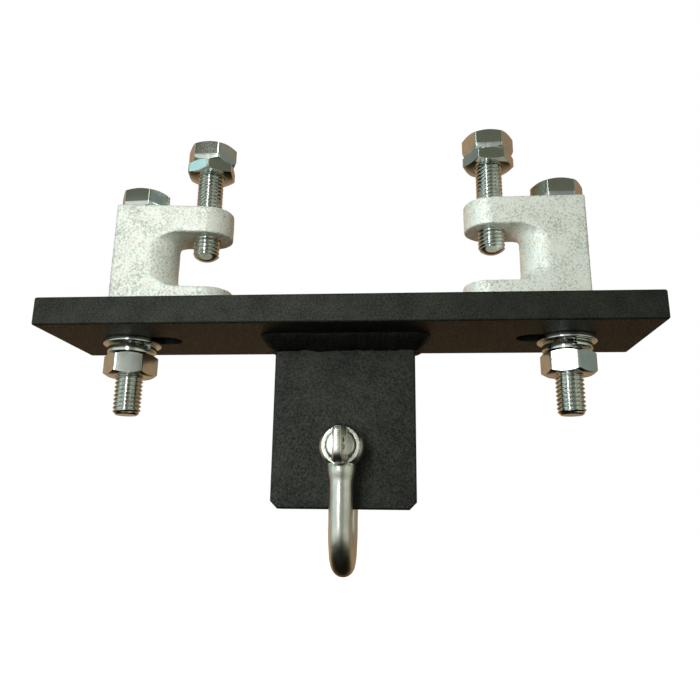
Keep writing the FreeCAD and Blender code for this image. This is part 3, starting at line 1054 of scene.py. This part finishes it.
def pin_shank(pin_z, back_y, collar_y, front_y):
    """Pin turned about its lengthwise axis: threaded end, plain shank and a round collar."""
    theta = angles(80)
    crest, pitch, depth = 3.95 * MM, 1.25 * MM, 0.7 * MM
    length = back_y - collar_y
    end_chamfer, thread_length = 0.8 * MM, 9 * MM
    radii, heights = threaded_rows(theta, 0.0, thread_length, crest, depth, pitch,
                                   lambda z: crest - end_chamfer + z, True)
    collar, edge = 4.8 * MM, 0.7 * MM
    quarter = np.linspace(0, math.pi / 2, 6)
    collar_length = collar_y - front_y
    radii += [crest, collar - 0.3 * MM, collar, *(collar - edge + edge * np.cos(quarter)), 2.6 * MM]
    heights += [length, length, length + 0.3 * MM,
                *(length + collar_length - edge + edge * np.sin(quarter)),
                length + collar_length + 0.25 * MM]
    rod = turned(radii, heights, theta)
    points = np.empty_like(rod)
    points[..., 0] = -rod[..., 0]
    points[..., 1] = back_y - rod[..., 2]
    points[..., 2] = pin_z + rod[..., 1]
    return closed_grid(points)


def pin_tab(pin_z, root_y, tip_y, width, thickness):
    """Flat thumb tab with a hole.

    Its outline about the hole is a superellipse of power 3.2; rows go from the hole's wall over
    one face, round the rim and back over the other face.  It thickens towards the collar by an
    exponential of the distance from it.
    """
    alpha = angles(96)
    reach = (root_y - tip_y) / 2 + 1.0 * MM
    middle_y = tip_y + reach
    power = 3.2
    along = np.abs(np.cos(alpha) / reach) ** power
    across = np.abs(np.sin(alpha) / (width / 2)) ** power
    outline = (along + across) ** (-1 / power)
    hole = 2.0 * MM
    quarter = np.linspace(0, math.pi / 2, 5)
    lip = 0.35 * MM
    edge = 0.7 * MM
    share = np.linspace(0.15, 1, 9)
    rows_r, rows_t = [], []
    for step in quarter:
        rows_r.append(hole + lip * (1 - math.cos(step)) + 0 * alpha)
        rows_t.append(1 - (lip / (thickness / 2)) * (1 - math.sin(step)) + 0 * alpha)
    for part in share:
        rows_r.append((hole + lip) * (1 - part) + (outline - edge) * part)
        rows_t.append(np.ones_like(alpha))
    for step in quarter[1:]:
        rows_r.append(outline - edge + edge * math.sin(step))
        rows_t.append(1 - (edge / (thickness / 2)) * (1 - math.cos(step)) + 0 * alpha)
    radius = np.array(rows_r + rows_r[::-1])
    half = np.array(rows_t + [-row for row in rows_t[::-1]]) * thickness / 2
    y = middle_y + radius * np.cos(alpha)
    z = pin_z + radius * np.sin(alpha)
    flare = 1 + 0.75 * np.exp(-np.maximum(root_y - y, 0) / (1.3 * MM))
    points = np.stack([half * flare, y, z], -1)
    return ring_grid(points)


class BEAMCLAMP_OT_shackle_pin(bpy.types.Operator):
    """Screw pin with a thumb tab"""
    bl_idname = "beam_clamp.shackle_pin"
    bl_label = "Shackle pin"

    def execute(self, context):
        low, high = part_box("shackle_pin")
        bow_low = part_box("shackle_bow")[0]
        pin_z = (low.z + high.z) / 2
        front_y = bow_low.y - PIN_COLLAR_LENGTH
        shells = [pin_shank(pin_z, high.y, bow_low.y, front_y),
                  pin_tab(pin_z, front_y, low.y, high.z - low.z, 3.0 * MM)]
        make_piece("screw_pin", shells, "pin", ["shackle_pin"], shackle_zinc(), 40.0)
        return {"FINISHED"}


# ---------------------------------------------------------------- panel and registration


class BEAMCLAMP_PT_panel(bpy.types.Panel):
    bl_idname = "BEAMCLAMP_PT_panel"
    bl_label = "Beam clamp"
    bl_space_type = "VIEW_3D"
    bl_region_type = "UI"
    bl_category = "Beam clamp"

    def draw(self, context):
        layout = self.layout
        for operator in OPERATORS:
            layout.operator(operator.bl_idname)
        for group in (stage_settings(), finish_settings(), shape_settings()):
            box = layout.box()
            for name in group.bl_rna.properties.keys():
                if name not in ("rna_type", "name"):
                    box.prop(group, name)


OPERATORS = (
    BEAMCLAMP_OT_stage,
    BEAMCLAMP_OT_coated_steel,
    BEAMCLAMP_OT_weld_beads,
    BEAMCLAMP_OT_clamp_castings,
    BEAMCLAMP_OT_screws,
    BEAMCLAMP_OT_nuts,
    BEAMCLAMP_OT_washers,
    BEAMCLAMP_OT_shackle_bow,
    BEAMCLAMP_OT_shackle_pin,
)
GROUPS = {
    "beam_clamp_stage": BeamClampStage,
    "beam_clamp_finish": BeamClampFinish,
    "beam_clamp_shapes": BeamClampShapes,
}


def register():
    for group in (*GROUPS.values(), *OPERATORS, BEAMCLAMP_PT_panel):
        bpy.utils.register_class(group)
    for name, group in GROUPS.items():
        setattr(bpy.types.Scene, name, PointerProperty(type=group))


def unregister():
    for name in GROUPS:
        delattr(bpy.types.Scene, name)
    for group in reversed((*GROUPS.values(), *OPERATORS, BEAMCLAMP_PT_panel)):
        bpy.utils.unregister_class(group)


def main():
    register()
    bpy.ops.beam_clamp.stage()
    bpy.ops.beam_clamp.coated_steel()
    bpy.ops.beam_clamp.weld_beads()
    bpy.ops.beam_clamp.clamp_castings()
    bpy.ops.beam_clamp.screws()
    bpy.ops.beam_clamp.nuts()
    bpy.ops.beam_clamp.washers()
    bpy.ops.beam_clamp.shackle_bow()
    bpy.ops.beam_clamp.shackle_pin()


if __name__ == "__main__":
    main()
